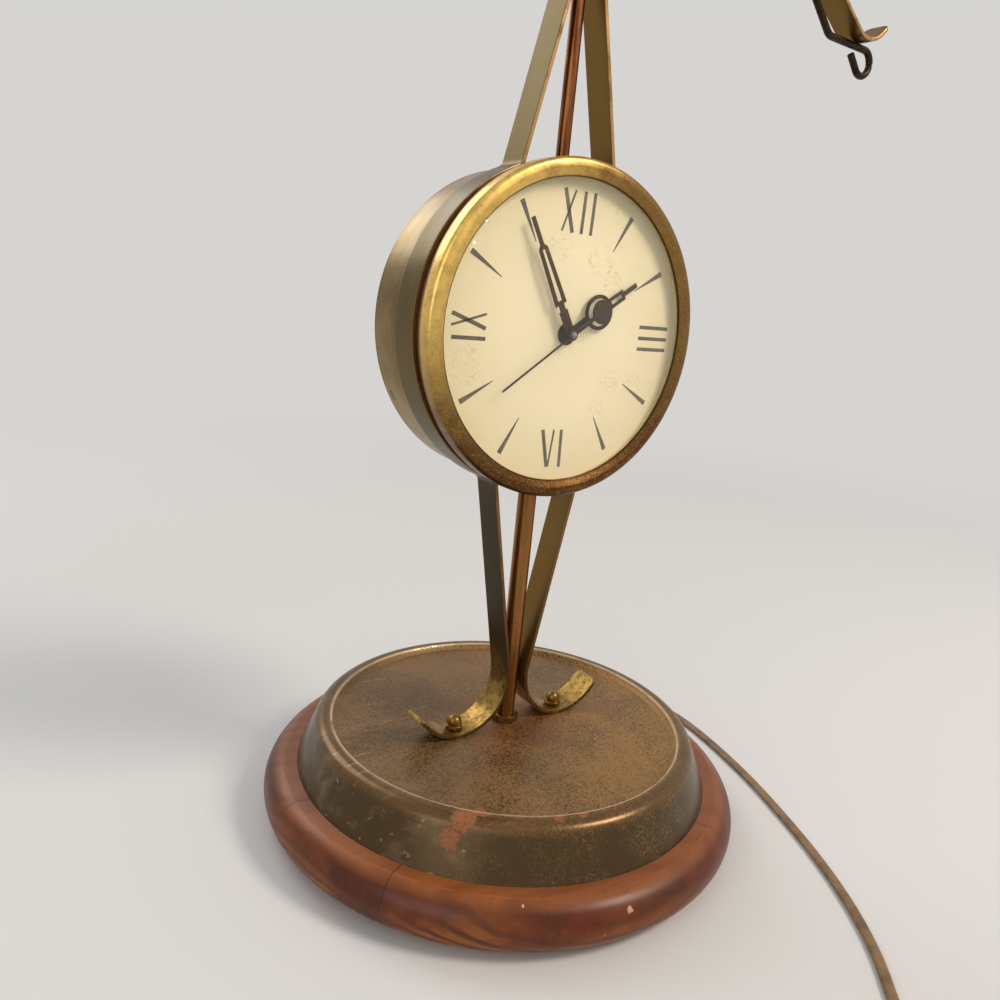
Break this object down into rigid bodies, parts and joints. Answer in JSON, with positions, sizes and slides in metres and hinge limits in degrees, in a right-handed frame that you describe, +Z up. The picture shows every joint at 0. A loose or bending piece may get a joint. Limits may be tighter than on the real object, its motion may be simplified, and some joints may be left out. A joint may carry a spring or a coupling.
{
  "type": "electric table clock",
  "caption": "Electric table clock of balance-scale form: round cased clock held between bent brass straps on a turned wood base, with hook-ended side arms.",
  "frame": {"origin": "centre of the underside of the round base, at the felt", "axes": "+Z up through the column, the dial looks along -Y, +X to the viewer's right"},
  "size_m": [0.4498, 0.5098, 0.4776],
  "materials": {
    "felt": "dark green felt",
    "mahogany": "red-brown lacquered turned wood",
    "bronzed_steel": "aged dark bronze lacquer on pressed steel",
    "copper_tube": "copper-bronze plated, worn",
    "aged_brass": "brown aged brass strap",
    "bright_brass": "dull gold brass",
    "dark_wire": "near-black oxidised steel wire",
    "case_bronze": "olive-brown aged brass lacquer on a drawn steel drum",
    "crystal_glass": "clear domed glass",
    "dial_cream": "cream enamel, faintly stained",
    "ring_card": "pale satin spacer",
    "hand_dark": "dark bronze lacquer",
    "gear_brass": "cut brass",
    "plain_steel": "plain steel",
    "core_steel": "laminated silicon steel",
    "bobbin_fibre": "brown vulcanised fibre",
    "winding": "varnished copper winding",
    "can_alu": "spun aluminium can",
    "knob_black": "black phenolic",
    "cord_brown": "translucent brown vinyl flat cord",
    "plug_brown": "dark brown plug body"
  },
  "bodies": {
    "root": {"base_felt": "felt", "wood_base": "mahogany", "base_pan": "bronzed_steel", "column_tube": "copper_tube", "tube_nut": "bright_brass", "tube_locknut": "plain_steel", "tube_washer": "plain_steel", "case_nut": "plain_steel", "left_strap": "aged_brass", "right_strap": "aged_brass", "foot_bolts": "bright_brass", "acorn_nuts": "bright_brass", "upper_rod": "copper_tube", "rod_nut": "plain_steel", "crown_bolt": "bright_brass", "crown_nut": "bright_brass", "left_hook": "dark_wire", "right_hook": "dark_wire", "case_shell": "case_bronze", "back_cover": "case_bronze", "bezel": "bright_brass", "crystal": "crystal_glass", "dial": "dial_cream", "dial_ring": "ring_card", "centre_nut": "hand_dark", "front_plate": "gear_brass", "back_plate": "gear_brass", "plate_pillars": "plain_steel", "plate_screws": "plain_steel", "stator_core": "core_steel", "core_posts": "plain_steel", "core_screws": "plain_steel", "coil_bobbin": "bobbin_fibre", "motor_coil": "winding", "rotor_can": "can_alu", "cord_bushing": "knob_black", "inner_lead": "cord_brown", "cord": "cord_brown", "cord_coil": "cord_brown", "plug_body": "plug_brown", "plug_blades": "bright_brass"},
    "minute_train": {"minute_hand": "hand_dark", "cannon_pinion": "gear_brass", "clutch_spring": "plain_steel"},
    "hour_train": {"hour_hand": "hand_dark", "hour_wheel": "gear_brass"},
    "minute_wheel": {"minute_wheel": "gear_brass"},
    "setting_stem": {"set_knob": "knob_black", "set_pinion": "plain_steel"},
    "seconds_train": {"second_hand": "hand_dark", "seconds_arbor": "gear_brass"},
    "third_wheel": {"third_wheel": "gear_brass"},
    "centre_wheel": {"centre_wheel": "gear_brass"},
    "motor_pinion": {"drive_pinion": "gear_brass"}
  },
  "joints": [
    {"name": "minute_turn", "type": "hinge", "parent": "root", "child": "minute_train", "pos_m": [0, 0, 0.2577], "axis": [0, 1, 0], "continuous": true},
    {"name": "hour_turn", "type": "hinge", "parent": "root", "child": "hour_train", "pos_m": [0, 0, 0.2577], "axis": [0, 1, 0], "continuous": true},
    {"name": "minute_wheel_turn", "type": "hinge", "parent": "root", "child": "minute_wheel", "pos_m": [0, 0, 0.2457], "axis": [0, 1, 0], "continuous": true},
    {"name": "setting_turn", "type": "hinge", "parent": "root", "child": "setting_stem", "pos_m": [0, 0, 0.2337], "axis": [0, 1, 0], "continuous": true},
    {"name": "seconds_turn", "type": "hinge", "parent": "root", "child": "seconds_train", "pos_m": [0, 0, 0.2577], "axis": [0, 1, 0], "continuous": true},
    {"name": "third_wheel_turn", "type": "hinge", "parent": "root", "child": "third_wheel", "pos_m": [-0.0106, 0, 0.26382], "axis": [0, 1, 0], "continuous": true},
    {"name": "centre_wheel_turn", "type": "hinge", "parent": "root", "child": "centre_wheel", "pos_m": [0, 0, 0.2577], "axis": [0, 1, 0], "continuous": true},
    {"name": "motor_pinion_turn", "type": "hinge", "parent": "root", "child": "motor_pinion", "pos_m": [0.0063, 0, 0.26861], "axis": [0, 1, 0], "continuous": true}
  ],
  "couplings": [
    {"joint": "hour_turn", "follows": "minute_turn", "ratio": 0.083333},
    {"joint": "minute_wheel_turn", "follows": "minute_turn", "ratio": -0.33333},
    {"joint": "setting_turn", "follows": "minute_turn", "ratio": 1},
    {"joint": "third_wheel_turn", "follows": "seconds_turn", "ratio": -0.13333},
    {"joint": "centre_wheel_turn", "follows": "seconds_turn", "ratio": 0.016667},
    {"joint": "motor_pinion_turn", "follows": "seconds_turn", "ratio": -6}
  ]
}
